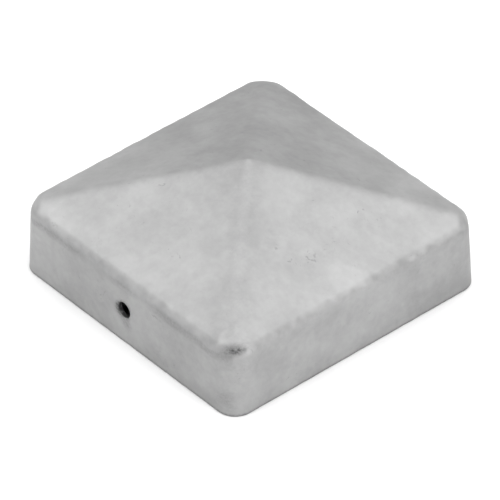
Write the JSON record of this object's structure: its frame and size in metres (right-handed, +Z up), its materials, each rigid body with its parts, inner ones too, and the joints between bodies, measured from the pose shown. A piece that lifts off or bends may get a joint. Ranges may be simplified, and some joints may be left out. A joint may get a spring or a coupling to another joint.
{
  "type": "fence post cap",
  "caption": "Galvanised steel pyramid cap that slips over the top of a square timber fence post, with a fixing hole in two opposite skirt faces.",
  "frame": {"origin": "centre of the open rim, in the rim's plane", "axes": "+Z up from the rim to the apex; the two fixing holes are on one line along Y, in the -Y (front) and +Y (back) skirt faces; the +X and -X faces are plain"},
  "size_m": [0.094, 0.094, 0.0418],
  "materials": {
    "zinc_coated_sheet": "matt hot-dip galvanised, cloudy grey"
  },
  "bodies": {
    "root": {"cap_shell": "zinc_coated_sheet"}
  },
  "joints": []
}
